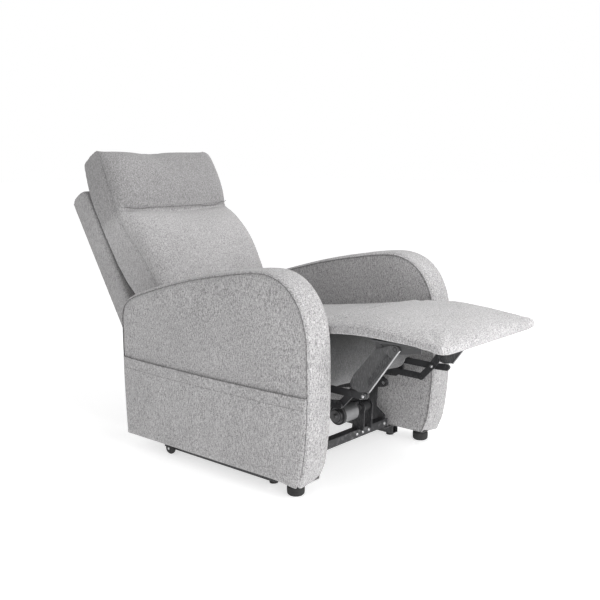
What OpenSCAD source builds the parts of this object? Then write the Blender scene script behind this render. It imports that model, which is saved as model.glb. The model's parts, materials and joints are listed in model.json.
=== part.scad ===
// Lift recliner chair, shown with the back reclined and the footrest out.
// +X is the sitter's left, -Y the front, +Z up. The origin is on the floor, at the middle of the outline.

/* [Overall] */
// Width over both arms' side pockets
chair_w = 750; // [744:2:764]
// Width of one upholstered arm
arm_w = 98.5; // [96:0.5:102]
// Clearance between the arms' underside and the floor
arm_bottom = 42; // [42:1:46]
// Height of the arm at its highest point
arm_top = 640; // [620:2:660]

/* [Back] */
// Lean of the back from upright
back_lean = 32; // [26:1:34]
// Width of the back and of its cushion
back_w = 518; // [496:2:524]
// Thickness of the padded shell behind the cushions
shell_t = 95; // [88:1:100]
// Height of the back shell along its lean
shell_h = 701; // [680:1:705]

/* [Seat] */
// Width of the seat cushion and the footrest pad
seat_w = 522; // [496:2:524]
// Depth of the seat cushion
seat_depth = 544; // [520:2:546]
// Height of the seat cushion's front edge
seat_front_z = 498; // [480:1:502]
// Height of the seat cushion's rear edge
seat_rear_z = 422; // [410:1:430]

/* [Footrest] */
// Length of the footrest pad
pad_length = 420; // [380:1:421]
// Thickness of the footrest pad at its rear edge
pad_t = 43; // [40:1:48]

/* [Mechanism] */
// Thickness of the steel side plates and links
plate_t = 5; // [4:0.5:5]
// Half the width of the slim links
link_r = 10.5; // [10:0.5:13]
// Radius of the linkage rivets
rivet_r = 5; // [4:0.5:5.5]
// Radius of the lift arms' cross tube
torque_tube_r = 11; // [9:0.5:13]
// Radius of the motor barrels
motor_r = 30; // [26:1:31]

/* [Base and feet] */
// Height of the base frame's side rails
rail_h = 28; // [24:1:28]
// Diameter of the round front feet
foot_d = 52; // [44:1:56]
// Diameter of the transport wheels
wheel_d = 38; // [34:1:38]

/* [Hidden] */
$fn = 48;

run = 0.05;                       // radial clearance of a running pin
slack = 1.5;                      // extra radius of a link's loose pivot
weld_gap = 0.5;                   // keeps a tube's ends clear of the plates beside it
inset = 0.01;                     // keeps a bar's straight sides just inside its round ends

// Lanes, measured outwards from the middle: the inner face of each layer of plates
strut_lane = 208;
link_lane = 214.5;
rail_lane = 221;
stay_lane = 228;
upright_lane = 235;
lift_lane = 241.5;
pocket_t = 8.5;
arm_inner = chair_w / 2 - pocket_t - arm_w;
arm_frame_x = 290;                // inner face of the wooden frame inside an arm
arm_frame_w = 46;

// Radii of the shafts and pins
shaft_r = 8;
tilt_pin_r = 7;
stay_pin_r = 6;
axle_r = 4;
bolt_r = 5;

// Pivots as [y, z]
lift_pivot = [-220, 228];         // lift arm on the base
tilt_pivot = [224, 180];          // chassis on the lift arm
stay_pivot = [-261, 201];         // lift stay on the base
stay_end = [70, 140];             // lift stay's loose end on the chassis
motor_pivot = [-266, 147];        // lift actuator in its clevis
torque_tube = [20, 105];          // lift arms' cross tube, pushed by the lift rod
back_pivot = [316, 270];
recline_pivot = [-150, 240];      // recline actuator on its cross bar
recline_pin = [340, 178];         // recline rod's loose end on the back's lever
upper_pivot = [-291, 298];        // upper footrest link on the chassis
lower_pivot = [-251, 256];        // lower footrest link on the chassis
cross_pivot = [-462, 295];        // rear strut on the upper link
tip_pivot = [-512, 297];          // front strut on the upper link
strut_foot = [-422, 253];         // rear strut's loose lower end
rear_top = [-566, 444];           // rear strut under the pad
front_top = [-616, 446];          // front strut's loose upper end under the pad

seat_front = -366;
pad_rear = -371;
pad_bottom = 468;
front_end = pad_rear - pad_length;
deck_z = 318;                     // top of the mechanism rails, underside of the wooden seat frame
deck_h = 32;
bolt_ys = [-200, 60];             // the bolts through the arm frames and the seat's side rails
bolt_z = deck_z + deck_h / 2;
tube_z = 45;                      // underside of the front base tube
tube_w = 30;
tube_wall = 2.5;
tube_half = 254;                  // half the length of the base tubes
axle = [181, wheel_d / 2 + 0.3];  // wheel axle as [y, z]
wheel_w = 14;
rail_x = 285;
rail_w = 30;
glide_h = 8;
rail_top = glide_h + rail_h;
rail_front = -264;
rail_rear = 236;

function bezier(a, b, c, d, n) = [for (i = [0:n - 1]) let (t = i / n, s = 1 - t)
    s * s * s * a + 3 * s * s * t * b + 3 * s * t * t * c + t * t * t * d];
// Outline of an arm seen from the side, clockwise from its rear bottom corner
arm_points = concat(
    bezier([366, arm_bottom], [376, 170], [378, 300], [378, 433], 4),
    bezier([378, 433], [377, 478], [348, 503], [299, 519], 6),
    bezier([299, 519], [180, 559], [40, 598], [-100, arm_top - 20], 8),
    bezier([-100, arm_top - 20], [-160, arm_top - 9], [-215, arm_top], [-262, arm_top], 5),
    bezier([-262, arm_top], [-352, arm_top - 2], [-424, 570], [-433, 450], 12),
    bezier([-433, 450], [-438, 330], [-440, 140], [-404, arm_bottom + 5], 8),
    [[-396, arm_bottom]]);
// The same outline drawn in towards the middle of the arm's underside
function arm_inset(ky, kz, mid = -40) =
    [for (p = arm_points) [mid + (p[0] - mid) * ky, arm_bottom + (p[1] - arm_bottom) * kz]];

module side_plate(x, t) {         // extrudes a [y, z] outline along +X from x
    translate([x, 0, 0]) rotate([90, 0, 90]) linear_extrude(t) children();
}
module pin(p, x0, x1, r) {
    translate([x0, p[0], p[1]]) rotate([0, 90, 0]) cylinder(r = r, h = x1 - x0);
}
module rivet(p, x0, x1) {         // shank from x0 to x1, with a head beyond each end
    pin(p, x0, x1, rivet_r);
    pin(p, x0 - 2.5, x0, rivet_r + 3);
    pin(p, x1, x1 + 1.2, rivet_r + 2.5);
}
module both_sides() { children(); mirror([1, 0, 0]) children(); }
module on_side(s) { if (s > 0) children(); else mirror([1, 0, 0]) children(); }
function arc(c, r, from, to, n = 12) =
    [for (i = [0:n]) let (t = from + (to - from) * i / n) c + r * [cos(t), sin(t)]];
function across(a, b, r) = [a[1] - b[1], b[0] - a[0]] * r / norm(b - a);   // square to a line, r long
module bar(a, b, r) {             // straight link outline with round ends
    n = across(a, b, r - inset);
    polygon([a + n, b + n, b - n, a - n]);
    translate(a) circle(r);
    translate(b) circle(r);
}
module box(low, high) { translate(low) cube(high - low); }
module back_frame_place() {
    translate([0, back_pivot[0], back_pivot[1]]) rotate([-back_lean, 0, 0]) children();
}

// ---- base on the floor ----
module base_side_rails() color("#303032") both_sides() {
    difference() {
        union() {
            box([rail_x, rail_front, glide_h], [rail_x + rail_w, rail_rear, rail_top]);
            for (y = [rail_front, rail_rear - 60])
                box([upright_lane, y, rail_top], [rail_x + rail_w, y + 60, rail_top + plate_t]);
        }
        box([rail_x + 3, rail_front - 1, glide_h + 3], [rail_x + rail_w - 3, rail_rear + 1, rail_top - 3]);
        pin(axle, rail_x - 1, rail_x + rail_w + 1, axle_r);
    }
}
module base_tube(y, z, h) difference() {      // square tube across the base, its rear face at y
    box([-tube_half, y - tube_w, z], [tube_half, y, z + h]);
    box([-tube_half - 1, y - tube_w + tube_wall, z + tube_wall],
        [tube_half + 1, y - tube_wall, z + h - tube_wall]);
}
module front_base_tube() color("#3a3a3c") base_tube(rail_front + tube_w, tube_z, 27);
module rear_base_tube() color("#3a3a3c") base_tube(rail_rear, tube_z - 4, 25);
module base_tube_caps() color("#b8b8ba") both_sides() {
    box([tube_half, rail_front, tube_z], [tube_half + 3, rail_front + tube_w, tube_z + 27]);
    box([tube_half, rail_rear - tube_w, tube_z - 4], [tube_half + 3, rail_rear, tube_z + 21]);
}
module base_uprights() color("#2c2c2e") both_sides() difference() {
    side_plate(upright_lane, plate_t) difference() {
        union() {
            polygon([[-264, 41], [-196, 41], [-200, 228], [-234, 214], [-228, 112], [-264, 86]]);
            bar(stay_pivot, lift_pivot, 13);
            translate(lift_pivot) circle(20);
            translate(stay_pivot) circle(14);
        }
        translate(lift_pivot) circle(shaft_r);
        translate(stay_pivot) circle(stay_pin_r);
    }
    box([upright_lane - 1, rail_front, tube_z],
        [upright_lane + plate_t + 1, rail_front + tube_w, tube_z + 27]);
}
module floor_glides() color("#202021") both_sides() for (y = [rail_front + 22, rail_rear - 22])
    translate([rail_x + rail_w / 2, y, 0]) cylinder(r = 13, h = glide_h);
module motor_clevis() color("#262628") for (x = [88, 131]) difference() {
    side_plate(x, plate_t) difference() {
        union() {
            polygon([[-284, 72], [-236, 72], [-246, 147], [-286, 147]]);
            translate(motor_pivot) circle(22);
        }
        translate(motor_pivot) circle(shaft_r);
    }
    box([x - 1, rail_front - 1, 0], [x + plate_t + 1, rail_front + tube_w + 1, tube_z + 27]);
}
module motor_clevis_pin() color("#c8c8ca") {
    pin(motor_pivot, 86, 138, shaft_r);
    pin(motor_pivot, 138, 142, 11);
    pin(motor_pivot, 83, 86, 11);
}
module lift_pivot_pins() color("#9a9a9c") both_sides() {
    pin(lift_pivot, upright_lane, lift_lane + 8.5, shaft_r);
    pin(lift_pivot, upright_lane - 1.5, upright_lane, shaft_r + 3);
    pin(stay_pivot, stay_lane - 0.3, upright_lane + plate_t + 1, stay_pin_r);
}
module wheel_axles() color("#9a9a9c") both_sides() pin(axle, rail_x + rail_w - 4, 345, axle_r);
module power_supply_box() color("#1d1d1f") difference() {
    box([-95, 120, 16], [95, rail_rear - tube_w, 64]);
    box([-92, 123, 19], [92, rail_rear - tube_w - 3, 61]);
    pin([160, 40], -100, -90, 11);
}
module mains_inlet() color("#111112") pin([160, 40], -99, -92, 11);
module transport_wheel(s) color("#1a1a1b") on_side(s)
    translate([328, axle[0], axle[1]]) rotate([0, 90, 0]) rotate_extrude()
        polygon([[axle_r + run, 0], [wheel_d / 2 - 3, 0], [wheel_d / 2, 4], [wheel_d / 2, wheel_w - 4],
            [wheel_d / 2 - 3, wheel_w], [axle_r + run, wheel_w]]);

// ---- lift arms and stays ----
module lift_arm(s) color("#29292b") on_side(s) side_plate(lift_lane, plate_t + 1) difference() {
    polygon(concat(arc(lift_pivot, 17, 264, 84), arc(tilt_pivot, 17, 84, -96), [[100, 176]],
        arc(torque_tube, 17, 20, -200), [[-50, 192]]));
    translate(lift_pivot) circle(shaft_r + run);
    translate(tilt_pivot) circle(tilt_pin_r);
    translate(torque_tube) circle(shaft_r);
}
module lift_torque_tube() color("#343436") {
    difference() {
        pin(torque_tube, -lift_lane, lift_lane, torque_tube_r);
        pin(torque_tube, -200, 200, torque_tube_r - 3);
    }
    both_sides() pin(torque_tube, lift_lane, lift_lane + plate_t + 1, shaft_r);
}
module lift_arm_pins() color("#9a9a9c") both_sides() {
    pin(tilt_pivot, rail_lane - 2, lift_lane + 8, tilt_pin_r);
    pin(tilt_pivot, rail_lane - 4, rail_lane - 2, tilt_pin_r + 3);
}
module lift_stays() color("#313133") both_sides() side_plate(stay_lane, plate_t) difference() {
    bar(stay_pivot, stay_end, 14);
    translate(stay_pivot) circle(stay_pin_r + run);
    translate(stay_end) circle(stay_pin_r + slack);
}

// ---- lift actuator, drawn along +Y from its clevis pin ----
lift_len = norm(torque_tube - motor_pivot);
module lift_place() translate([0, motor_pivot[0], motor_pivot[1]])
    rotate([atan2(torque_tube[1] - motor_pivot[1], torque_tube[0] - motor_pivot[0]), 0, 0]) children();
spindle_x = 112;
gearbox_x = 46;                   // where the motor barrel meets the gearbox
barrel_l = 70;
module lift_gearbox() color("#1c1c1e") lift_place() difference() {
    union() {
        translate([95, 0, 0]) rotate([0, 90, 0]) cylinder(r = 16, h = 34);
        box([95, 0, -16], [129, 31, 16]);
        box([gearbox_x, 31, -24], [132, 72, 24]);
        box([gearbox_x, -4, -22], [82, 31, 22]);
    }
    translate([90, 0, 0]) rotate([0, 90, 0]) cylinder(r = shaft_r + run, h = 44);
}
module lift_motor() color("#b4b4b6") lift_place() translate([gearbox_x, 0, 0]) rotate([0, -90, 0]) {
    cylinder(r = motor_r, h = barrel_l);
    translate([0, 0, barrel_l]) cylinder(r = motor_r - 3, h = 5);
    translate([0, 0, barrel_l + 5]) cylinder(r = motor_r - 11, h = 12);
    translate([0, 0, barrel_l + 17]) cylinder(r = shaft_r, h = 8);
}
module lift_spindle_tube() color("#8c8c8f") lift_place()
    translate([spindle_x, 72, 0]) rotate([-90, 0, 0]) difference() {
        cylinder(r = 16, h = 130);
        translate([0, 0, -1]) cylinder(r = 10.5, h = 132);
    }
module lift_rod() color("#c2c2c4") lift_place() difference() {
    union() {
        translate([spindle_x, 110, 0]) rotate([-90, 0, 0]) cylinder(r = 10, h = lift_len - 128);
        translate([spindle_x - 15, lift_len, 0]) rotate([0, 90, 0]) cylinder(r = 24, h = 30);
    }
    translate([spindle_x - 16, lift_len, 0]) rotate([0, 90, 0]) cylinder(r = torque_tube_r + 6.5, h = 32);
}

// ---- chassis: mechanism rails, seat frame, arms ----
module mechanism_rail(s) color("#2b2b2d") on_side(s) {
    side_plate(rail_lane, plate_t) difference() {
        union() {
            polygon([[-344, deck_z], [-344, 262], [-318, 236], [-150, 225], [30, 225], [56, 136],
                [84, 136], [110, 225], [190, 225], [206, 172], [242, 172], [258, 240], [300, 244],
                [334, 252], [334, deck_z]]);
            translate(stay_end) circle(16);
            translate(tilt_pivot) circle(19);
            translate(back_pivot) circle(26);
        }
        translate(stay_end) circle(stay_pin_r);
        translate(tilt_pivot) circle(tilt_pin_r + run);
        translate(back_pivot) circle(shaft_r + run);
        translate(upper_pivot) circle(shaft_r + run);
        translate(lower_pivot) circle(rivet_r + run);
        translate(recline_pivot) circle(shaft_r);
    }
    box([rail_lane + plate_t, -330, deck_z - 4], [250, 200, deck_z]);
}
module chassis_cross_bars() color("#222224") {
    pin(recline_pivot, -rail_lane - plate_t, rail_lane + plate_t, shaft_r);
    pin([-196, 246], -rail_lane, rail_lane, 6);
    pin([262, 296], -rail_lane, rail_lane, 10);
}
module stay_pins() color("#9a9a9c") both_sides() {
    pin(stay_end, rail_lane - 2, stay_lane + plate_t + 1.5, stay_pin_r);
    pin(stay_end, rail_lane - 4, rail_lane, stay_pin_r + 3);
}
module seat_side_rails() color("#c9a878") both_sides() difference() {
    box([205, seat_front + 24, deck_z], [arm_inner, 200, deck_z + deck_h]);
    for (y = bolt_ys) pin([y, bolt_z], 200, 290, bolt_r);
}
module seat_front_rail() color("#c9a878")
    box([-arm_inner, seat_front, deck_z], [arm_inner, seat_front + 24, deck_z + deck_h]);
module seat_rear_rail() color("#c9a878") box([-205, 176, deck_z], [205, 200, deck_z + deck_h]);
module sinuous(length, pitch, amp, wire) {   // flat zig-zag spring along +Y, starting at the origin
    turns = floor(length / pitch);
    for (i = [0:turns - 1]) {
        translate([-amp, i * pitch]) square([2 * amp, wire]);
        translate([i % 2 == 0 ? amp : -amp - wire, i * pitch]) square([wire, pitch + wire]);
    }
    translate([-amp, turns * pitch]) square([2 * amp, wire]);
}
module seat_springs() color("#8a8a8d") for (i = [-2:2]) translate([i * 80, -342, deck_z + deck_h - 5])
    linear_extrude(4) sinuous(514, 32, 22, 4);
module seat_cushion() color("#b2b0b1") side_plate(-seat_w / 2, seat_w)
    polygon([[seat_front, deck_z + deck_h], [seat_front, seat_front_z - 8], [seat_front + 10, seat_front_z],
        [-233, seat_front_z - 12], [-60, seat_front_z - 34], [seat_front + seat_depth - 20, seat_rear_z],
        [seat_front + seat_depth, seat_rear_z - 20], [seat_front + seat_depth, deck_z + deck_h]]);
cloth_curve = bezier([seat_front + 4, deck_z - 0.5], [-352, 276], [-300, 262], [-214, 250], 12);
module under_seat_cloth() color("#4a4a4d") side_plate(-200, 400)
    polygon(concat([for (p = cloth_curve) p], [[-214, 250], [-214, 252.5]],
        [for (i = [len(cloth_curve) - 1:-1:0]) cloth_curve[i] + [1.5, 2.2 * min(1, i)]]));
module arm_frame(s) color("#c9a878") on_side(s) difference() {
    side_plate(arm_frame_x, arm_frame_w) difference() {
        polygon(arm_inset(0.9, 0.93));
        difference() {
            translate([0, 44]) polygon(arm_inset(0.74, 0.72));
            translate([-60, 0]) square([44, 700]);
            translate([-500, 308]) square([1000, 52]);
        }
    }
    for (y = bolt_ys) pin([y, bolt_z], 280, 340, bolt_r);
}
module arm_cover(s) color("#b4b2b3") on_side(s) difference() {
    side_plate(arm_inner, arm_w) polygon(arm_points);
    side_plate(arm_frame_x, arm_frame_w) polygon(concat(arm_inset(0.9, 0.93), [[-40, arm_bottom - 1]]));
    for (y = bolt_ys) pin([y, bolt_z], arm_inner - 1, arm_frame_x + 1, bolt_r);
}
module pocket_outline(low, high, rim) intersection() {
    polygon(arm_inset(0.985 - rim, 1));
    translate([-500, low]) square([1000, high - low]);
}
module side_pocket(s) color("#aeacad") on_side(s) difference() {
    side_plate(arm_inner + arm_w, pocket_t) pocket_outline(46, 304, 0);
    side_plate(arm_inner + arm_w - 1, 6) pocket_outline(60, 320, 0.03);
}
module arm_bolts() color("#77777a") both_sides() for (y = bolt_ys) {
    pin([y, bolt_z], 205, arm_frame_x + arm_frame_w, bolt_r);
    pin([y, bolt_z], 201, 205, bolt_r + 4);
}
module front_feet() color("#1b1b1d") both_sides() translate([325, -351, 0]) rotate_extrude()
    polygon([[0, 0], [foot_d / 2 - 5, 0], [foot_d / 2 - 1, 4], [foot_d / 2, 12], [foot_d / 2, 24],
        [foot_d / 2 - 4, 30], [foot_d / 2 - 4, arm_bottom], [0, arm_bottom]]);

// ---- footrest linkage ----
module upper_link(s) color("#242426") on_side(s) {
    side_plate(link_lane, plate_t) difference() {
        union() {
            bar(upper_pivot, cross_pivot, link_r);
            bar(cross_pivot, tip_pivot, link_r);
            translate(upper_pivot) circle(shaft_r + 5);
        }
        translate(upper_pivot) circle(shaft_r);
        for (p = [cross_pivot, tip_pivot]) translate(p) circle(rivet_r);
    }
    rivet(cross_pivot, strut_lane, link_lane + plate_t);
    rivet(tip_pivot, link_lane, rail_lane + plate_t);
}
module footrest_torque_tube() color("#2e2e30") {
    pin(upper_pivot, -link_lane, link_lane, 12);
    both_sides() pin(upper_pivot, link_lane, rail_lane + plate_t + 1.5, shaft_r);
}
module lower_links() color("#242426") both_sides() {
    side_plate(link_lane, plate_t) difference() {
        bar(lower_pivot, strut_foot, link_r);
        translate(lower_pivot) circle(rivet_r);
        translate(strut_foot) circle(rivet_r + slack);
    }
    rivet(lower_pivot, link_lane, rail_lane + plate_t);
}
module rear_strut(s) color("#2a2a2c") on_side(s) {
    side_plate(strut_lane, plate_t) difference() {
        union() { bar(strut_foot, cross_pivot, link_r); bar(cross_pivot, rear_top, link_r + 1); }
        translate(cross_pivot) circle(rivet_r + run);
        translate(rear_top) circle(rivet_r + run);
        translate(strut_foot) circle(rivet_r);
    }
    pin(strut_foot, strut_lane - 2.5, link_lane + plate_t + 0.5, rivet_r);
}
module front_strut(s) color("#5c5c60") on_side(s) {
    side_plate(rail_lane, plate_t) difference() {
        union() {
            polygon([[-531, 312], [-631, 446], [-626, 455], [-605, 456], [-552, 437], [-509, 388],
                [-478, 353], [-466, 329], [-474, 313], [-500, 307]]);
            translate(tip_pivot) circle(rivet_r + 4);
            translate(front_top) circle(rivet_r + 5);
        }
        translate(tip_pivot) circle(rivet_r + run);
        translate(front_top) circle(rivet_r + slack);
    }
    side_plate(rail_lane + plate_t, 1.5) polygon([[-531, 326], [-603, 418], [-590, 428], [-530, 349]]);
}
module footrest_brackets() color("#39393b") both_sides() {
    side_plate(link_lane, plate_t) difference() {
        polygon([[-548, pad_bottom], [-548, 440], [-566, 429], [-620, 431], [-694, 444], [-694, pad_bottom]]);
        for (p = [rear_top, front_top]) translate(p) circle(rivet_r);
    }
    box([link_lane + plate_t, -694, pad_bottom - 5], [247, -548, pad_bottom]);
    rivet(rear_top, strut_lane, link_lane + plate_t);
    pin(front_top, link_lane, rail_lane + plate_t + 0.5, rivet_r);
    for (y = [-575, -665]) translate([236, y, pad_bottom - 9]) cylinder(r = 7, h = 4);
}
module footrest_board() color("#c9a878")
    box([-232, front_end + 24, pad_bottom], [232, pad_rear - 18, pad_bottom + 12]);
module footrest_pad() color("#bcbabb") difference() {
    side_plate(-seat_w / 2, seat_w) polygon([[pad_rear, pad_bottom], [pad_rear, pad_bottom + pad_t],
        [-452, pad_bottom + pad_t + 4], [-560, pad_bottom + pad_t + 6], [-700, pad_bottom + pad_t - 4],
        [front_end + 22, pad_bottom + 26], [front_end, pad_bottom + 6], [front_end + 2, pad_bottom - 10],
        [front_end + 14, pad_bottom - 16], [front_end + 26, pad_bottom]]);
    box([-232, front_end + 24, pad_bottom - 1], [232, pad_rear - 18, pad_bottom + 12]);
}

// ---- back, drawn upright about its hinge and then leaned ----
shell_front = 33;                 // front and rear faces of the padded shell, behind the hinge line
shell_rear = shell_front + shell_t;
lever_local = [recline_pin[0] - back_pivot[0], recline_pin[1] - back_pivot[1]];
module back_brackets() color("#2b2b2d") both_sides() back_frame_place()
    side_plate(stay_lane, plate_t) difference() {
        union() {
            circle(22);
            polygon([[-18, 12], [48, 96], [48, 210], [76, 210], [76, 60], [14, -17]]);
        }
        circle(shaft_r);
    }
module back_torque_tube() color("#343436") {
    difference() {
        pin(back_pivot, -rail_lane + weld_gap, rail_lane - weld_gap, 13);
        pin(back_pivot, -200, 200, 10);
    }
    both_sides() pin(back_pivot, rail_lane - weld_gap, stay_lane + plate_t, shaft_r);
    for (x = [-82, -43]) side_plate(x, plate_t) difference() {
        bar(back_pivot + lever_local * 0.13, recline_pin, 15);
        translate(back_pivot) circle(13);
    }
    pin(recline_pin, -77, -43, 6);
}
module back_frame() color("#c9a878") back_frame_place() difference() {
    box([-stay_lane, 46, 44], [stay_lane, 96, 656]);
    box([-180, 40, 100], [180, 100, 610]);
}
module back_springs() color("#8a8a8d") back_frame_place() for (i = [-2:2]) translate([i * 72, 44, 90])
    rotate([90, 0, 0]) linear_extrude(4) sinuous(540, 36, 22, 4);
module back_shell() color("#a9a7a8") back_frame_place() difference() {
    side_plate(-back_w / 2, back_w) polygon(concat(
        [[shell_front, 20], [shell_rear - 8, 20], [shell_rear, 28]],
        bezier([shell_rear, shell_h - 14], [shell_rear, shell_h - 5], [shell_rear - 6, shell_h],
            [shell_rear - 18, shell_h], 6),
        bezier([80, shell_h], [56, shell_h], [40, shell_h - 8], [shell_front, shell_h - 24], 5)));
    box([-234, 30, 19], [234, 100, 660]);
}
module back_cushion() color("#b0aeaf") back_frame_place() side_plate(-back_w / 2 + 2, back_w - 4)
    polygon(concat([[32, 96], [-120, 96]],
        bezier([-138, 110], [-190, 230], [-196, 420], [-132, 556], 10),
        bezier([-132, 556], [-164, 590], [-166, 700], [-140, 762], 8),
        [[-100, 768], [-4, 762], [24, 714], [30, 697], [32, 690]]));
recline_len = norm(recline_pin - recline_pivot);
module recline_place() translate([-60, recline_pivot[0], recline_pivot[1]])
    rotate([atan2(recline_pin[1] - recline_pivot[1], recline_pin[0] - recline_pivot[0]), 0, 0]) children();
module recline_actuator() color("#1e1e20") recline_place() difference() {
    union() {
        translate([-14, 0, 0]) rotate([0, 90, 0]) cylinder(r = 15, h = 28);
        box([-12, 0, -12], [12, 40, 12]);
        box([-22, 34, -22], [22, 90, 22]);
        translate([22, 62, 0]) rotate([0, 90, 0]) cylinder(r = motor_r - 6, h = 96);
        translate([0, 90, 0]) rotate([-90, 0, 0]) cylinder(r = 15, h = 190);
    }
    translate([-15, 0, 0]) rotate([0, 90, 0]) cylinder(r = shaft_r + run, h = 30);
    translate([0, 120, 0]) rotate([-90, 0, 0]) cylinder(r = 9.5, h = 200);
}
module recline_rod() color("#c2c2c4") recline_place() difference() {
    union() {
        translate([0, 160, 0]) rotate([-90, 0, 0]) cylinder(r = 9, h = recline_len - 172);
        translate([-14, recline_len, 0]) rotate([0, 90, 0]) cylinder(r = 15, h = 28);
    }
    translate([-15, recline_len, 0]) rotate([0, 90, 0]) cylinder(r = 10, h = 30);
}

base_side_rails();
front_base_tube();
rear_base_tube();
base_tube_caps();
base_uprights();
floor_glides();
motor_clevis();
motor_clevis_pin();
lift_pivot_pins();
wheel_axles();
power_supply_box();
mains_inlet();
transport_wheel(1);  // transport_wheel_left
transport_wheel(-1);  // transport_wheel_right
lift_arm(1);  // lift_arm_left
lift_arm(-1);  // lift_arm_right
lift_torque_tube();
lift_arm_pins();
lift_stays();
lift_gearbox();
lift_motor();
lift_spindle_tube();
lift_rod();
mechanism_rail(1);  // mechanism_rail_left
mechanism_rail(-1);  // mechanism_rail_right
chassis_cross_bars();
stay_pins();
seat_side_rails();
seat_front_rail();
seat_rear_rail();
seat_springs();
seat_cushion();
under_seat_cloth();
arm_frame(1);  // arm_frame_left
arm_frame(-1);  // arm_frame_right
arm_cover(1);  // arm_cover_left
arm_cover(-1);  // arm_cover_right
side_pocket(1);  // side_pocket_left
side_pocket(-1);  // side_pocket_right
arm_bolts();
front_feet();
upper_link(1);  // upper_link_left
upper_link(-1);  // upper_link_right
footrest_torque_tube();
lower_links();
rear_strut(1);  // rear_strut_left
rear_strut(-1);  // rear_strut_right
front_strut(1);  // front_strut_left
front_strut(-1);  // front_strut_right
footrest_brackets();
footrest_board();
footrest_pad();
back_brackets();
back_torque_tube();
back_frame();
back_springs();
back_shell();
back_cushion();
recline_actuator();
recline_rod();
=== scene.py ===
import json
import math

import bmesh
import bpy
import numpy as np
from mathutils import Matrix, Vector, noise


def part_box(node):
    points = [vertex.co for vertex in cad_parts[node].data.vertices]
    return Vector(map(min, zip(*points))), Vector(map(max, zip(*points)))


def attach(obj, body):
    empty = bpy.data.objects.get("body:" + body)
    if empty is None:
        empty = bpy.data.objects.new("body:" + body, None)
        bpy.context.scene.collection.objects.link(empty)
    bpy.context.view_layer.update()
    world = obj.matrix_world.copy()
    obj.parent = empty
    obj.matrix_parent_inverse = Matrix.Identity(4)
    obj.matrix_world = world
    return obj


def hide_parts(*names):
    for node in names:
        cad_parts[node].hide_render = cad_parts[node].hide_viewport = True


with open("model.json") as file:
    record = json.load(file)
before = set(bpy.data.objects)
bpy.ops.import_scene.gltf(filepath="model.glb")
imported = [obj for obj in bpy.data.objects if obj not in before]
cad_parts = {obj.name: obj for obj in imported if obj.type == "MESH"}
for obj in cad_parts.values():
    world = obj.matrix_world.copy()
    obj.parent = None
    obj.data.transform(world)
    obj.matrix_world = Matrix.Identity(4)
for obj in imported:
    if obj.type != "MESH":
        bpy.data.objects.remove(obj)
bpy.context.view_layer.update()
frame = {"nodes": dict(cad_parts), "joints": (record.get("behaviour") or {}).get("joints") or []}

SCENE = bpy.context.scene
NODES = frame["nodes"]
JOINT_AT = {j["name"]: Vector(j["pos_m"]) for j in frame["joints"] if "pos_m" in j}
BACK_LEAN = math.radians(32)          # lean of the back at rest
HINGE = JOINT_AT["back_recline"]
SIDES = {"left": 1, "right": -1}      # the sitter's left is +X
VOXEL = 0.006                         # edge of the remeshed cushion cells


# ---------------------------------------------------------------- materials
def new_material(name):
    """An empty node material: the material, its links and its principled shader."""
    material = bpy.data.materials.new(name)
    material.use_nodes = True
    return material, material.node_tree.links, material.node_tree.nodes["Principled BSDF"]


def math_node(tree, operation, a, b=None):
    """A math node; a and b are sockets or numbers."""
    node = tree.nodes.new("ShaderNodeMath")
    node.operation = operation
    for socket, value in zip(node.inputs, (a, b)):
        if value is None:
            continue
        if hasattr(value, "is_output"):
            tree.links.new(value, socket)
        else:
            socket.default_value = value
    return node.outputs[0]


def noise_node(tree, vector, scale, detail=2.0, roughness=0.5):
    """A noise texture on these coordinates."""
    node = tree.nodes.new("ShaderNodeTexNoise")
    node.inputs["Scale"].default_value = scale
    node.inputs["Detail"].default_value = detail
    node.inputs["Roughness"].default_value = roughness
    tree.links.new(vector, node.inputs["Vector"])
    return node.outputs["Fac"]


def mapped(tree, scale=(1, 1, 1), tilt=0.0):
    """Object coordinates, turned about X and stretched."""
    coordinates = tree.nodes.new("ShaderNodeTexCoord")
    mapping = tree.nodes.new("ShaderNodeMapping")
    mapping.inputs["Rotation"].default_value = (tilt, 0, 0)
    mapping.inputs["Scale"].default_value = scale
    tree.links.new(coordinates.outputs["Object"], mapping.inputs["Vector"])
    return mapping.outputs["Vector"]


def ramp(tree, value, stops):
    """A colour ramp of [place, colour] stops."""
    node = tree.nodes.new("ShaderNodeValToRGB")
    elements = node.color_ramp.elements
    while len(elements) < len(stops):
        elements.new(0.5)
    for element, (place, colour) in zip(elements, stops):
        element.position = place
        element.color = (*colour, 1) if len(colour) == 3 else colour
    tree.links.new(value, node.inputs["Fac"])
    return node.outputs["Color"]


def mix_colour(tree, share, a, b, blend="MIX"):
    """A colour mix; each of share, a and b is a socket or a constant."""
    node = tree.nodes.new("ShaderNodeMix")
    node.data_type = "RGBA"
    node.blend_type = blend
    sockets = [s for s in node.inputs if s.enabled]
    for socket, value in zip(sockets, (share, a, b)):
        if hasattr(value, "is_output"):
            tree.links.new(value, socket)
        else:
            socket.default_value = value
    return [s for s in node.outputs if s.enabled][0]


def bump(tree, height, distance, strength=1.0, under=None):
    """A bump of this height map, laid over another normal if one is given."""
    node = tree.nodes.new("ShaderNodeBump")
    node.inputs["Distance"].default_value = distance
    node.inputs["Strength"].default_value = strength
    tree.links.new(height, node.inputs["Height"])
    if under is not None:
        tree.links.new(under, node.inputs["Normal"])
    return node.outputs["Normal"]


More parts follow.
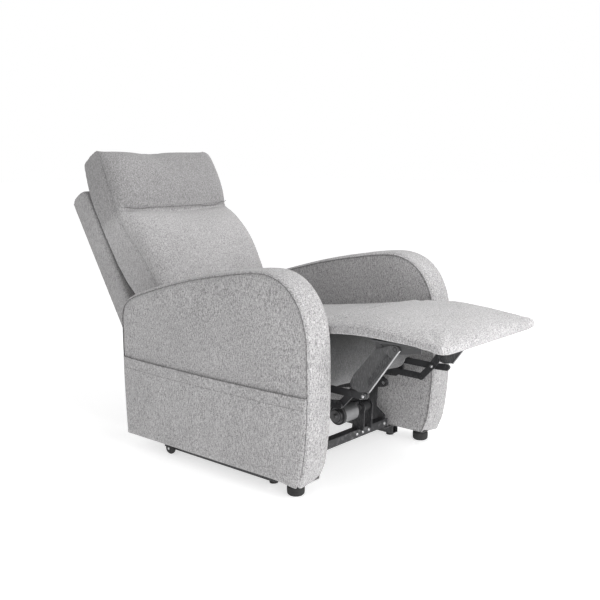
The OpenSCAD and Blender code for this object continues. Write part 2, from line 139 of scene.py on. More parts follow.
def threads(tree, vector, pitch):
    """Height of a plain weave that needs no UVs: three products of sines, one for each pair of axes."""
    split = tree.nodes.new("ShaderNodeSeparateXYZ")
    tree.links.new(vector, split.inputs[0])
    waves = [math_node(tree, "SINE", math_node(tree, "MULTIPLY", split.outputs[i], 2 * math.pi / pitch))
             for i in range(3)]
    pairs = [math_node(tree, "MULTIPLY", waves[i], waves[(i + 1) % 3]) for i in range(3)]
    total = math_node(tree, "ADD", math_node(tree, "ADD", pairs[0], pairs[1]), pairs[2])
    return math_node(tree, "MULTIPLY_ADD", total, 0.25)


def fabric(name, dark, light, tilt=0.0, pitch=0.0024, lift=1.0, shade=None):
    """Woven melange upholstery: dark and light yarns, slubs, a little pilling and a soft nap.

    shade is [lower, upper, share]: painted shade; between these heights the cloth's colour darkens upwards to
    this share."""
    material, links, shader = new_material(name)
    tree = material.node_tree
    plain = mapped(tree, tilt=tilt)
    slub = mapped(tree, (1.0, 1.0, 0.28), tilt)
    speckle = noise_node(tree, plain, 270, 2.5, 0.6)
    streak = noise_node(tree, slub, 330, 1.5, 0.55)
    patch = noise_node(tree, plain, 7, 2.0)
    yarn = math_node(tree, "ADD", math_node(tree, "MULTIPLY", speckle, 0.6),
                     math_node(tree, "MULTIPLY", streak, 0.4))
    middle = tuple((d + l) / 2 for d, l in zip(dark, light))
    colour = ramp(tree, yarn, [(0.36, dark), (0.5, middle), (0.64, light)])
    worn = ramp(tree, patch, [(0.3, (0.95, 0.95, 0.95)), (0.7, (1.04, 1.04, 1.04))])
    base = mix_colour(tree, 1.0, colour, worn, "MULTIPLY")
    # painted shade: the base colour is multiplied darker with height over the shade band
    if shade:
        split = tree.nodes.new("ShaderNodeSeparateXYZ")
        links.new(plain, split.inputs[0])
        painted_shade_ramp = ramp(tree, split.outputs["Z"], [(shade[0], (1.0,) * 3), (shade[1], (shade[2],) * 3)])
        base = mix_colour(tree, 1.0, base, painted_shade_ramp, "MULTIPLY")
    links.new(base, shader.inputs["Base Color"])
    wobble = tree.nodes.new("ShaderNodeVectorMath")
    wobble.operation = "MULTIPLY_ADD"
    wander = tree.nodes.new("ShaderNodeTexNoise")
    wander.inputs["Scale"].default_value = 60
    links.new(plain, wander.inputs["Vector"])
    links.new(wander.outputs["Color"], wobble.inputs[0])
    wobble.inputs[1].default_value = (0.0016, 0.0016, 0.0016)
    links.new(plain, wobble.inputs[2])
    weave = threads(tree, wobble.outputs[0], pitch)
    relief = math_node(tree, "ADD", math_node(tree, "MULTIPLY", weave, 0.6),
                       math_node(tree, "MULTIPLY", speckle, 0.8))
    soft = bump(tree, noise_node(tree, plain, 22, 3.0), 0.0016, 0.35)
    links.new(bump(tree, relief, 0.0005, 0.8 * lift, soft), shader.inputs["Normal"])
    rough = ramp(tree, speckle, [(0.3, (0.86,) * 3), (0.7, (0.98,) * 3)])
    links.new(rough, shader.inputs["Roughness"])
    shader.inputs["Specular IOR Level"].default_value = 0.18
    shader.inputs["Sheen Weight"].default_value = 0.22
    shader.inputs["Sheen Roughness"].default_value = 0.55
    return material


def painted_steel(name, colour, rough=0.42, wear=0.2):
    """Powder-coated steel: orange peel, dust, and bare metal along its edges."""
    material, links, shader = new_material(name)
    tree = material.node_tree
    plain = mapped(tree)
    peel = noise_node(tree, plain, 900, 1.0)
    dust = noise_node(tree, plain, 18, 4.0, 0.6)
    geometry = tree.nodes.new("ShaderNodeNewGeometry")
    edge = ramp(tree, geometry.outputs["Pointiness"], [(0.52, (0,) * 3), (0.6, (1,) * 3)])
    rubbed = noise_node(tree, mapped(tree, (1, 6, 1)), 70, 3.0, 0.7)
    scratch = ramp(tree, rubbed, [(0.5, (0,) * 3), (0.66, (1,) * 3)])
    share = math_node(tree, "MULTIPLY", math_node(tree, "MULTIPLY", edge, scratch), wear)
    clean, dusty = tuple(c * 0.88 for c in colour), tuple(c * 1.15 + 0.006 for c in colour)
    paint = ramp(tree, dust, [(0.3, clean), (0.8, dusty)])
    links.new(mix_colour(tree, share, paint, (0.4, 0.4, 0.41, 1)), shader.inputs["Base Color"])
    gloss = ramp(tree, dust, [(0.3, (rough - 0.08,) * 3), (0.7, (rough + 0.14,) * 3)])
    links.new(gloss, shader.inputs["Roughness"])
    links.new(bump(tree, peel, 0.0003, 0.35), shader.inputs["Normal"])
    shader.inputs["Specular IOR Level"].default_value = 0.5
    return material


def bare_metal(name, colour, rough=0.26, grain=(1, 1, 14)):
    """Turned or brushed bare metal with fine lines and smudges."""
    material, links, shader = new_material(name)
    tree = material.node_tree
    lines = noise_node(tree, mapped(tree, grain), 160, 3.0, 0.7)
    smudge = noise_node(tree, mapped(tree), 30, 3.0)
    handled = ramp(tree, smudge, [(0.3, tuple(c * 0.82 for c in colour)), (0.7, colour)])
    gloss = ramp(tree, lines, [(0.3, (rough - 0.06,) * 3), (0.7, (rough + 0.12,) * 3)])
    links.new(handled, shader.inputs["Base Color"])
    links.new(gloss, shader.inputs["Roughness"])
    links.new(bump(tree, lines, 0.0002, 0.3), shader.inputs["Normal"])
    shader.inputs["Metallic"].default_value = 1.0
    return material


def moulded(name, colour, rough=0.5, grain_scale=1400.0):
    """Moulded plastic or rubber with a fine spark grain."""
    material, links, shader = new_material(name)
    tree = material.node_tree
    plain = mapped(tree)
    grain = noise_node(tree, plain, grain_scale, 2.0)
    dust = noise_node(tree, plain, 40, 4.0, 0.6)
    dusty = ramp(tree, dust, [(0.3, colour), (0.8, tuple(c * 1.5 + 0.01 for c in colour))])
    gloss = ramp(tree, dust, [(0.3, (rough,) * 3), (0.8, (min(1.0, rough + 0.2),) * 3)])
    links.new(dusty, shader.inputs["Base Color"])
    links.new(gloss, shader.inputs["Roughness"])
    links.new(bump(tree, grain, 0.0002, 0.5), shader.inputs["Normal"])
    shader.inputs["Specular IOR Level"].default_value = 0.4
    return material


def timber(name):
    """Planed softwood with growth lines."""
    material, links, shader = new_material(name)
    tree = material.node_tree
    along = mapped(tree, (1, 0.12, 1))
    wave = tree.nodes.new("ShaderNodeTexWave")
    wave.inputs["Scale"].default_value = 26
    wave.inputs["Distortion"].default_value = 6
    wave.inputs["Detail"].default_value = 3
    links.new(along, wave.inputs["Vector"])
    links.new(ramp(tree, wave.outputs["Fac"], [(0.1, (0.42, 0.27, 0.14)), (0.9, (0.62, 0.44, 0.26))]),
              shader.inputs["Base Color"])
    links.new(bump(tree, wave.outputs["Fac"], 0.0004, 0.4), shader.inputs["Normal"])
    shader.inputs["Roughness"].default_value = 0.7
    return material


GREY_DARK = (0.17, 0.166, 0.168)
GREY_LIGHT = (0.56, 0.551, 0.555)
FABRIC = fabric("melange_fabric", GREY_DARK, GREY_LIGHT)
FABRIC_BACK = fabric("melange_fabric_back", (0.205, 0.2, 0.202), (0.475, 0.467, 0.47), tilt=BACK_LEAN,
                     lift=0.8)
TUCK_Z = 0.509                        # height of the sewn line between the cushion's head and lumbar parts
TUCK_HEIGHT = TUCK_Z + HINGE.y * math.sin(BACK_LEAN) + HINGE.z * math.cos(BACK_LEAN)
# A lightened copy of the back's melange, brightened as painted light on the lumbar part; its shade band
# paints shade on the head part above the tuck.
FABRIC_CUSHION = fabric("melange_fabric_cushion", (0.235, 0.229, 0.231), (0.54, 0.531, 0.535), tilt=BACK_LEAN,
                        lift=0.8, shade=(TUCK_HEIGHT, TUCK_HEIGHT + 0.035, 0.72))
STITCH = fabric("stitching_thread", (0.20, 0.20, 0.203), (0.34, 0.335, 0.34), pitch=0.0011)
# Dark cloth for the piping and the tuck: painted shadow of the seams' grooves.
SEAM_SHADOW = fabric("seam_shadow", (0.085, 0.083, 0.084), (0.24, 0.236, 0.238), pitch=0.0013)
LINING = fabric("dark_lining", (0.055, 0.055, 0.057), (0.13, 0.13, 0.133), pitch=0.0016)
# Dark cloth; its shade band paints the shade under the seat and pad, darkening the curtain towards its top.
CURTAIN = fabric("curtain_cloth", (0.08, 0.08, 0.082), (0.17, 0.17, 0.172), pitch=0.0016,
                 shade=(0.30, 0.44, 0.12))
STEEL_BLACK = painted_steel("black_powder_coat", (0.022, 0.022, 0.024))
STEEL_GREY = painted_steel("grey_powder_coat", (0.055, 0.055, 0.057), 0.45)
STEEL_BRIGHT = bare_metal("bright_zinc", (0.62, 0.62, 0.63))
MOTOR = bare_metal("motor_barrel", (0.30, 0.30, 0.305), 0.34, (14, 1, 1))
PLASTIC = moulded("black_plastic", (0.018, 0.018, 0.019))
RUBBER = moulded("black_rubber", (0.02, 0.02, 0.02), 0.7, 900)
WOOD = timber("softwood")

NODE_FINISH = {
    "black_steel": STEEL_BLACK, "grey_steel": STEEL_GREY, "bright_steel": STEEL_BRIGHT, "motor_case": MOTOR,
    "black_plastic": PLASTIC, "rubber": RUBBER, "wood": WOOD, "dark_cloth": LINING, "fabric": FABRIC,
}
# Wooden nodes that are wrapped in dark cloth
WRAPPED_NODES = ("seat_side_rails", "seat_front_rail", "seat_rear_rail", "footrest_board", "arm_frame_left",
                 "arm_frame_right")


def finish_nodes():
    """Every CAD node that stays takes the procedural material of its slot."""
    for name, node in NODES.items():
        for place in node.material_slots:
            slot = place.material.name.split(".")[0] if place.material else "black_steel"
            place.material = LINING if name in WRAPPED_NODES else NODE_FINISH.get(slot, STEEL_BLACK)


# ---------------------------------------------------------------- mesh tools
def add_piece(name, points, faces, material, body, slot, smooth=True):
    """A mesh piece riding on a body, with its faces turned outwards."""
    mesh = bpy.data.meshes.new(name)
    mesh.from_pydata([tuple(p) for p in points], [], faces)
    piece = bpy.data.objects.new(name, mesh)
    SCENE.collection.objects.link(piece)
    tidy(piece)
    mesh.materials.append(material)
    if smooth:
        mesh.polygons.foreach_set("use_smooth", [True] * len(mesh.polygons))
    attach(piece, body)
    return piece


def tidy(piece, merge=0.0002):
    """Joins points that coincide and turns the faces outwards."""
    work = bmesh.new()
    work.from_mesh(piece.data)
    bmesh.ops.remove_doubles(work, verts=work.verts, dist=merge)
    bmesh.ops.recalc_face_normals(work, faces=work.faces)
    work.to_mesh(piece.data)
    work.free()


def grid(rows, columns, start=0, wrap=False):
    """Quads of a rows by columns grid whose points begin at start."""
    last = columns if wrap else columns - 1
    return [(start + r * columns + c, start + r * columns + (c + 1) % columns,
             start + (r + 1) * columns + (c + 1) % columns, start + (r + 1) * columns + c)
            for r in range(rows - 1) for c in range(last)]


def two_layers(rows, columns):
    """Faces of a closed sheet: two equal grids of points, one after the other, and the rim between them."""
    border = ([(0, c) for c in range(columns)] + [(r, columns - 1) for r in range(1, rows)]
              + [(rows - 1, c) for c in range(columns - 2, -1, -1)]
              + [(r, 0) for r in range(rows - 2, 0, -1)])
    size = rows * columns
    ids = [r * columns + c for r, c in border]
    rim = [(a, b, b + size, a + size) for a, b in zip(ids, ids[1:] + ids[:1])]
    return grid(rows, columns) + grid(rows, columns, size) + rim


def resample(points, count=None, step=None):
    """Points evenly spaced along a polyline of any dimension."""
    points = np.array(points, float)
    lengths = np.concatenate([[0], np.cumsum(np.linalg.norm(np.diff(points, axis=0), axis=1))])
    count = count or max(2, int(round(lengths[-1] / step)) + 1)
    places = np.linspace(0, lengths[-1], count)
    return np.stack([np.interp(places, lengths, points[:, k]) for k in range(points.shape[1])], axis=1)


def smooth_line(points, step=0.005, rounds=3):
    """A polyline rounded by repeated averaging, its ends kept."""
    line = resample(points, step=step)
    for _ in range(rounds):
        line[1:-1] = (line[:-2] + 2 * line[1:-1] + line[2:]) / 4
    return line


def tube(points, radius, sides=8, closed=False):
    """Points and faces of a round tube along a polyline, its ends capped."""
    points = [Vector(p) for p in points]
    count = len(points)
    rings, normal = [], None
    for i, p in enumerate(points):
        ahead = points[(i + 1) % count] if closed or i < count - 1 else p
        behind = points[i - 1] if closed or i > 0 else p
        along = (ahead - behind).normalized()
        if normal is None:
            normal = along.orthogonal().normalized()
        normal = (normal - along * normal.dot(along)).normalized()
        side = along.cross(normal)
        rings += [p + radius * (math.cos(a) * normal + math.sin(a) * side)
                  for a in (2 * math.pi * k / sides for k in range(sides))]
    faces = grid(count, sides, wrap=True)
    if closed:
        base = (count - 1) * sides
        faces += [(base + k, base + (k + 1) % sides, (k + 1) % sides, k) for k in range(sides)]
    else:
        faces += [tuple(range(sides)), tuple(range((count - 1) * sides, count * sides))]
    return rings, faces


def joined(parts):
    """Several (points, faces) as one."""
    points, faces = [], []
    for some_points, some_faces in parts:
        faces += [tuple(i + len(points) for i in face) for face in some_faces]
        points += list(some_points)
    return points, faces


def stitches(line, normals, length=0.0045, gap=0.0028, radius=0.00055, sides=6):
    """A row of short raised stitches along a line."""
    line = resample(line, step=0.0005)
    turns = np.array([np.interp(np.linspace(0, 1, len(line)), np.linspace(0, 1, len(normals)),
                                np.array(normals)[:, k]) for k in range(3)]).T
    parts, pitch, size = [], int((length + gap) / 0.0005), int(length / 0.0005)
    for start in range(0, len(line) - size, pitch):
        run = line[start:start + size + 1:max(1, size // 3)]
        rise = turns[start:start + size + 1:max(1, size // 3)]
        hump = np.sin(np.linspace(0, math.pi, len(run)))[:, None]
        parts.append(tube(run + rise * (hump * 0.0007 + 0.0001), radius, sides))
    return joined(parts)


def waver(x, y, z, scale, depth, seed):
    """Smooth low-frequency unevenness of soft filling."""
    return depth * noise.noise(Vector((x * scale + seed, y * scale, z * scale + 3.1 * seed)))


# ---------------------------------------------------------------- arms
def node_outline(name):
    """[y, z] outline of a CAD node's outermost flat side, from its rear bottom corner to its front one."""
    mesh = NODES[name].data
    points = np.array([v.co for v in mesh.vertices])
    face_x = points[np.argmax(np.abs(points[:, 0])), 0]
    on_face = np.abs(points[:, 0] - face_x) < 1e-5
    edges = {}
    for polygon in mesh.polygons:
        if all(on_face[i] for i in polygon.vertices):
            ring = [tuple(np.round(points[i, 1:], 5)) for i in polygon.vertices]
            for a, b in zip(ring, ring[1:] + ring[:1]):
                edges[frozenset((a, b))] = edges.get(frozenset((a, b)), 0) + 1
    ends = {}
    for edge, uses in edges.items():
        if uses == 1:
            a, b = tuple(edge)
            ends.setdefault(a, []).append(b)
            ends.setdefault(b, []).append(a)
    floor_z = min(p[1] for p in ends)
    start = max((p for p in ends if p[1] < floor_z + 1e-4), key=lambda p: p[0])
    path = [start, max(ends[start], key=lambda p: p[1])]
    while path[-1][1] > floor_z + 1e-4 or len(path) < 3:
        path.append(next(p for p in ends[path[-1]] if p != path[-2]))
    return np.array(path)


def edge_steps(length, near=(0.0, 0.0025, 0.006, 0.012, 0.022), step=0.014):
    """Shares of a side, close together by its two ends, where the seams lie."""
    inner = np.linspace(near[-1], length - near[-1], max(3, int(length / step)))
    return np.concatenate([near[:-1], inner, [length - n for n in near[:-1]][::-1]]) / length


def at_share(line, shares):
    """Points of a [y, z] line at these shares of its length."""
    lengths = np.concatenate([[0], np.cumsum(np.linalg.norm(np.diff(line, axis=0), axis=1))])
    at = np.array(shares) * lengths[-1]
    return np.stack([np.interp(at, lengths, line[:, k]) for k in range(2)], axis=1)


def coons(bottom, top, rear, front):
    """Grid between four sides; bottom and top run from rear to front, rear and front run upwards."""
    u = np.concatenate([[0], np.cumsum(np.linalg.norm(np.diff(bottom, axis=0), axis=1))])
    v = np.concatenate([[0], np.cumsum(np.linalg.norm(np.diff(rear, axis=0), axis=1))])
    u, v = (u / u[-1])[None, :, None], (v / v[-1])[:, None, None]
    ruled = (1 - v) * bottom[None] + v * top[None] + (1 - u) * rear[:, None] + u * front[:, None]
    corners = ((1 - u) * (1 - v) * bottom[0] + u * (1 - v) * bottom[-1]
               + (1 - u) * v * top[0] + u * v * top[-1])
    return ruled - corners


def border_distance(cells):
    """Distance of each grid point from the grid's border."""
    border = np.concatenate([cells[0], cells[-1], cells[:, 0], cells[:, -1]])
    flat = cells.reshape(-1, 2)
    gaps = np.linalg.norm(flat[:, None] - border[None], axis=2).min(axis=1)
    return gaps.reshape(cells.shape[:2])


def puff(distance, crown, seam=0.0016, reach=0.07):
    """How far a sewn panel stands out at this distance from its seam."""
    return crown * (1 - np.exp(-distance / reach)) - seam * np.exp(-(distance / 0.0045) ** 2)


def arm_sides(outline):
    """The outline's rear, top and front stretches, smoothed and split where it turns the corners."""
    line = smooth_line(outline, 0.004, 6)
    slope = np.gradient(line, axis=0)
    angle = np.unwrap(np.arctan2(slope[:, 1], slope[:, 0]))
    rear_end = int(np.argmax(angle > math.radians(90 + 42)))
    front_start = int(np.argmax(angle > math.radians(180 + 38)))
    return line[:rear_end + 1], line[rear_end:front_start + 1], line[front_start:][::-1]


SEAM_INSET = 0.008                    # how far the panels' seams lie inside the arm's outline


def roll(gap, reach=0.010):
    """Share of the seam's inset that is left at this distance across the band, for a rounded edge."""
    return 1 - math.sqrt(1 - (1 - min(gap / reach, 1.0)) ** 2)


def make_arm(side):
    """One arm: its two sewn panels, the band between them, the seams and the pocket."""
    sign = SIDES[side]
    node = f"arm_cover_{side}"
    low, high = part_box(node)
    inner_x, outer_x = (low.x, high.x) if sign > 0 else (high.x, low.x)
    rear, top, front = arm_sides(node_outline(node))
    u = edge_steps(0.75)
    v = edge_steps(0.5)
    rear, top, front = at_share(rear, v), at_share(top, u), at_share(front, v)
    outer_bottom = at_share(np.array([rear[0], front[0]]), u)
    ring = np.concatenate([rear, top[1:-1], front[::-1]])
    slope = np.gradient(ring, axis=0)
    normals = np.stack([slope[:, 1], -slope[:, 0]], axis=1)
    normals /= np.linalg.norm(normals, axis=1)[:, None]
    if np.dot(normals[len(ring) // 2], [0, 1]) < 0:
        normals = -normals
    sewn = ring - normals * SEAM_INSET
    turn = len(rear) + len(top) - 2
    rear, top, front = sewn[:len(rear)], sewn[len(rear) - 1:turn + 1], sewn[turn:][::-1]
    bottom = at_share(np.array([rear[0], front[0]]), u)
    cells = coons(bottom, top, rear, front)
    depth = border_distance(cells)
    rows, columns = cells.shape[:2]

    def panel(x, outward, crown, droop):
        points = []
        for r in range(rows):
            for c in range(columns):
                y, z = cells[r, c]
                uneven = waver(x * 3, y, z, 7, 0.0016, 2.0 + sign) * min(1, depth[r, c] / 0.03)
                out = puff(depth[r, c], crown) + uneven
                corner = droop * math.exp(-((y - front[0][0]) / 0.05) ** 2 - ((z - low.z) / 0.05) ** 2)
                points.append((x + sign * outward * out, y, z - corner))
        return points, grid(rows, columns)

    width = abs(outer_x - inner_x)
    across = edge_steps(width, (0.0, 0.0025, 0.006, 0.012), 0.009) * width
    front_bottom = np.array([math.exp(-((p[1] - low.z) / 0.045) ** 2) if p[0] < 0 else 0 for p in ring])
    band = []
    for i, (y, z) in enumerate(ring):
        for d in across:
            seam_gap = min(d, width - d)
            out = puff(np.array(seam_gap), 0.0035, reach=0.022) + waver(d, y, z, 9, 0.0010, 5.0)
            inner_share = d / width                       # 0 at the outer edge, 1 at the inner edge
            rise = front_bottom[i] * (0.016 * inner_share ** 3 - 0.007 * (1 - inner_share) ** 5)
            edge_in = min(1.0, seam_gap / 0.01)
            out = out * edge_in - SEAM_INSET * roll(seam_gap)
            band.append((outer_x - sign * d, y + normals[i][0] * out,
                         z + normals[i][1] * out + rise * edge_in))
    band_faces = grid(len(ring), len(across))
    under = []
    for d in across:
        share = roll(min(d, width - d))
        for y, z in bottom * share + outer_bottom * (1 - share):
            under.append((outer_x - sign * d, y, z + 0.001))
    parts = [panel(outer_x, 1, 0.004, 0.007), panel(inner_x, -1, 0.0025, 0.0),
             (band, band_faces), (under, grid(len(across), len(bottom)))]
    points, faces = joined(parts)
    cover = add_piece(f"upholstered_arm_{side}", points, faces, FABRIC, "chassis", "fabric")
    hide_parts(node)

    lines = []
    seam = resample(sewn, step=0.006)
    outwards = resample(normals, len(seam))
    for x, shift in ((outer_x, 1), (inner_x, -1)):
        lines.append(tube([(x + sign * shift * 0.0004, y + n[0] * 0.0004, z + n[1] * 0.0004)
                           for (y, z), n in zip(seam, outwards)], 0.0012))
    points, faces = joined(lines)
    # The piping is coloured as painted shadow of the seam lines.
    add_piece(f"arm_piping_{side}", points, faces, SEAM_SHADOW, "chassis", "fabric")
    make_pocket(side, rear, front, outer_x, low)
    return cover


HEM = 0.040                           # depth of the hem at the pocket's mouth


def make_pocket(side, rear, front, outer_x, low):
    """The full-width panel on the arm's outer face, sewn on three sides and open at its top edge."""
    sign = SIDES[side]
    pocket_low, pocket_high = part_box(f"side_pocket_{side}")
    proud = (pocket_high.x - outer_x if sign > 0 else outer_x - pocket_low.x) * 0.55
    mouth_z = pocket_high.z
    inside = [line[line[:, 1] <= mouth_z] for line in (rear, front)]
    u, v = edge_steps(0.75), edge_steps(mouth_z - low.z)
    rear_side, front_side = (at_share(np.concatenate([line, [[line[-1][0], mouth_z]]]), v) for line in inside)
    bottom = at_share(np.array([rear_side[0], front_side[0]]), u)
    mouth = at_share(np.array([rear_side[-1], front_side[-1]]), u)
    sag = np.sin(np.linspace(0, math.pi, len(u))) ** 1.2
    mouth[:, 1] -= 0.004 * sag
    panel = coons(bottom, mouth, rear_side, front_side)
    rows, columns = panel.shape[:2]
    sewn = np.concatenate([panel[0], panel[:, 0], panel[:, -1]])
    points = []
    for layer in (0, 1):
        for r in range(rows):
            for c in range(columns):
                y, z = panel[r, c]
                gap = np.linalg.norm(sewn - panel[r, c], axis=1).min()
                open_share = math.exp(-((mouth_z - z) / 0.06) ** 2)
                out = 0.0012 + proud * (1 - math.exp(-gap / 0.05)) * (0.55 + 0.45 * open_share)
                out += waver(0.3, y, z, 8, 0.0014, 9.0 + sign) * min(1, gap / 0.03)
                hem = 0.0011 * math.exp(-((mouth_z - HEM - z) / 0.0022) ** 2)
                out -= 0.0026 * math.exp(-(gap / 0.004) ** 2)
                droop = 0.007 * math.exp(-((y - front_side[0][0]) / 0.05) ** 2 - ((z - low.z) / 0.05) ** 2)
                out += 0.0042 - 0.0022 * layer - hem * (1 - layer)
                points.append((outer_x + sign * out, y, z - droop))
    pocket = add_piece(f"pocket_panel_{side}", points, two_layers(rows, columns), FABRIC, "chassis", "fabric")
    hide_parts(f"side_pocket_{side}")
    row = int(np.argmin(np.abs(panel[:, columns // 2, 1] - (mouth_z - HEM))))
    line = np.array([points[row * columns + c] for c in range(3, columns - 3)])
    normals = np.tile([sign, 0.0, 0.0], (len(line), 1))
    seam_points, seam_faces = stitches(line, normals)
    add_piece(f"pocket_stitching_{side}", seam_points, seam_faces, STITCH, "chassis", "fabric")


# ---------------------------------------------------------------- cushions
def back_place(x, y, z):
    """A point of the upright back drawing, hinge at the origin, as it stands leaned in the row frame."""
    cos, sin = math.cos(BACK_LEAN), math.sin(BACK_LEAN)
    return x, HINGE.y + y * cos + z * sin, HINGE.z - y * sin + z * cos


def swept(profile, half_width, shape, slices=40):
    """Closed solid: a [y, z] profile carried across X, each slice bent by shape(x share, y, z)."""
    shares = np.sin(np.linspace(-math.pi / 2, math.pi / 2, slices))
    points, count = [], len(profile)
    for s in shares:
        for y, z in profile:
            new_y, new_z = shape(s, y, z)
            points.append((s * half_width, new_y, new_z))
    faces = grid(slices, count, wrap=True)
    for base in (0, (slices - 1) * count):
        centre = np.mean(points[base:base + count], axis=0)
        points.append(tuple(centre))
        faces += [(base + k, base + (k + 1) % count, len(points) - 1) for k in range(count)]
    return points, faces


def remesh(piece, size=VOXEL):
    """Rebuilds the piece as one closed surface of even cells."""
    modifier = piece.modifiers.new("remesh", "REMESH")
    modifier.mode = "VOXEL"
    modifier.voxel_size = size
    modifier.use_smooth_shade = True
    bake(piece)


def bake(piece):
    """Applies the piece's modifiers to its mesh."""
    graph = bpy.context.evaluated_depsgraph_get()
    mesh = bpy.data.meshes.new_from_object(piece.evaluated_get(graph))
    piece.modifiers.clear()
    old = piece.data
    piece.data = mesh
    bpy.data.meshes.remove(old)


def coordinates(piece):
    """The piece's points as an array."""
    co = np.empty(len(piece.data.vertices) * 3)
    piece.data.vertices.foreach_get("co", co)
    return co.reshape(-1, 3)


def set_coordinates(piece, co):
    """Writes an array back into the piece's points."""
    piece.data.vertices.foreach_set("co", co.ravel())
    piece.data.update()


def vertex_normals(piece):
    """The piece's normals, one for each point."""
    normals = np.empty(len(piece.data.vertices) * 3)
    piece.data.vertices.foreach_get("normal", normals)
    return normals.reshape(-1, 3)


def inflate(piece, held, cap, pressure=4.0, last_frame=20):
    """Swells the cover as cloth under pressure.

    held is each point's hold from 0 to 1, and cap the furthest that a point moves."""
    before = coordinates(piece)
    group = piece.vertex_groups.new(name="held")
    for level in range(1, 11):
        members = np.nonzero(np.round(held * 10).astype(int) == level)[0]
        if len(members):
            group.add([int(i) for i in members], level / 10, "REPLACE")
    cloth = piece.modifiers.new("cloth", "CLOTH")
    cloth.settings.quality = 5
    cloth.settings.mass = 0.3
    cloth.settings.tension_stiffness = 18
    cloth.settings.compression_stiffness = 14
    cloth.settings.shear_stiffness = 8
    cloth.settings.bending_stiffness = 1.5
    cloth.settings.use_pressure = True
    cloth.settings.uniform_pressure_force = pressure
    cloth.settings.vertex_group_mass = "held"
    cloth.settings.effector_weights.gravity = 0
    cloth.point_cache.frame_start, cloth.point_cache.frame_end = 1, last_frame
    for number in range(1, last_frame + 1):
        SCENE.frame_set(number)
    graph = bpy.context.evaluated_depsgraph_get()
    mesh = bpy.data.meshes.new_from_object(piece.evaluated_get(graph))
    after = np.empty(len(mesh.vertices) * 3)
    mesh.vertices.foreach_get("co", after)
    bpy.data.meshes.remove(mesh)
    piece.modifiers.clear()
    piece.vertex_groups.clear()
    SCENE.frame_set(1)
    move = after.reshape(-1, 3) - before
    size = np.linalg.norm(move, axis=1)[:, None] + 1e-9
    set_coordinates(piece, before + move / size * cap * np.tanh(size / cap))


def relax(piece, rounds=2, factor=0.5):
    """Laplacian smoothing of the whole cover."""
    modifier = piece.modifiers.new("relax", "SMOOTH")
    modifier.iterations = rounds
    modifier.factor = factor
    bake(piece)


def refine(piece):
    """Halves the cells of the cover."""
    modifier = piece.modifiers.new("refine", "SUBSURF")
    modifier.levels = 1
    modifier.render_levels = 1
    bake(piece)


def groove(piece, gap, depth, width):
    """Presses a sewn line into the cover where gap, each point's distance from it, is small."""
    co, normals = coordinates(piece), vertex_normals(piece)
    set_coordinates(piece, co - normals * (depth * np.exp(-(gap / width) ** 2))[:, None])


def line_gap(co, line):
    """Distance of each point from a polyline's points."""
    line = resample(line, step=0.004)
    best = np.full(len(co), 1e9)
    for p in line:
        best = np.minimum(best, ((co - p) ** 2).sum(axis=1))
    return np.sqrt(best)


def soft_piece(name, shell, material, body, hold, cap, pressure=4.0):
    """A cushion cover: remeshed, swollen as cloth and refined."""
    piece = add_piece(name, *shell, material, body, "fabric")
    remesh(piece)
    co = coordinates(piece)
    inflate(piece, hold(co), cap, pressure)
    relax(piece)
    refine(piece)
    piece.data.materials.clear()
    piece.data.materials.append(material)
    piece.data.polygons.foreach_set("use_smooth", [True] * len(piece.data.polygons))
    return piece


# [y, z] of the back cushion's front, from its foot to its top, in the upright back drawing
CUSHION_FRONT = [(-0.118, 0.100), (-0.152, 0.150), (-0.184, 0.236), (-0.197, 0.300), (-0.200, 0.350),
                 (-0.194, 0.400), (-0.179, 0.445), (-0.160, 0.478), (-0.146, 0.498), (-0.142, 0.511),
                 (-0.150, 0.528), (-0.162, 0.556), (-0.170, 0.610), (-0.172, 0.660), (-0.171, 0.710),
                 (-0.164, 0.742), (-0.146, 0.760)]
CUSHION_TOP = [(-0.110, 0.774), (-0.060, 0.777), (-0.012, 0.772), (0.001, 0.735), (0.012, 0.700),
               (0.023, 0.650)]
CUSHION_REAR = [(0.030, 0.600), (0.031, 0.300), (0.031, 0.104)]
# The seam between the cushion's front panel and its side panel
SIDE_SEAM = [(-0.118, 0.100), (-0.127, 0.180), (-0.126, 0.258), (-0.118, 0.320), (-0.104, 0.389),
             (-0.090, 0.440), (-0.082, 0.478), (-0.078, 0.520), (-0.080, 0.562), (-0.088, 0.604),
             (-0.094, 0.643), (-0.100, 0.690), (-0.103, 0.739), (-0.104, 0.765)]
# The rear edge of the side panel, which leaves the shell towards its foot
SIDE_REAR = [(-0.045, 0.100), (-0.030, 0.180), (-0.008, 0.257), (0.009, 0.307), (0.022, 0.385),
             (0.026, 0.500), (0.026, 0.640)]
TUCK_RISE = 0.021                     # how much higher the tuck runs at the sides


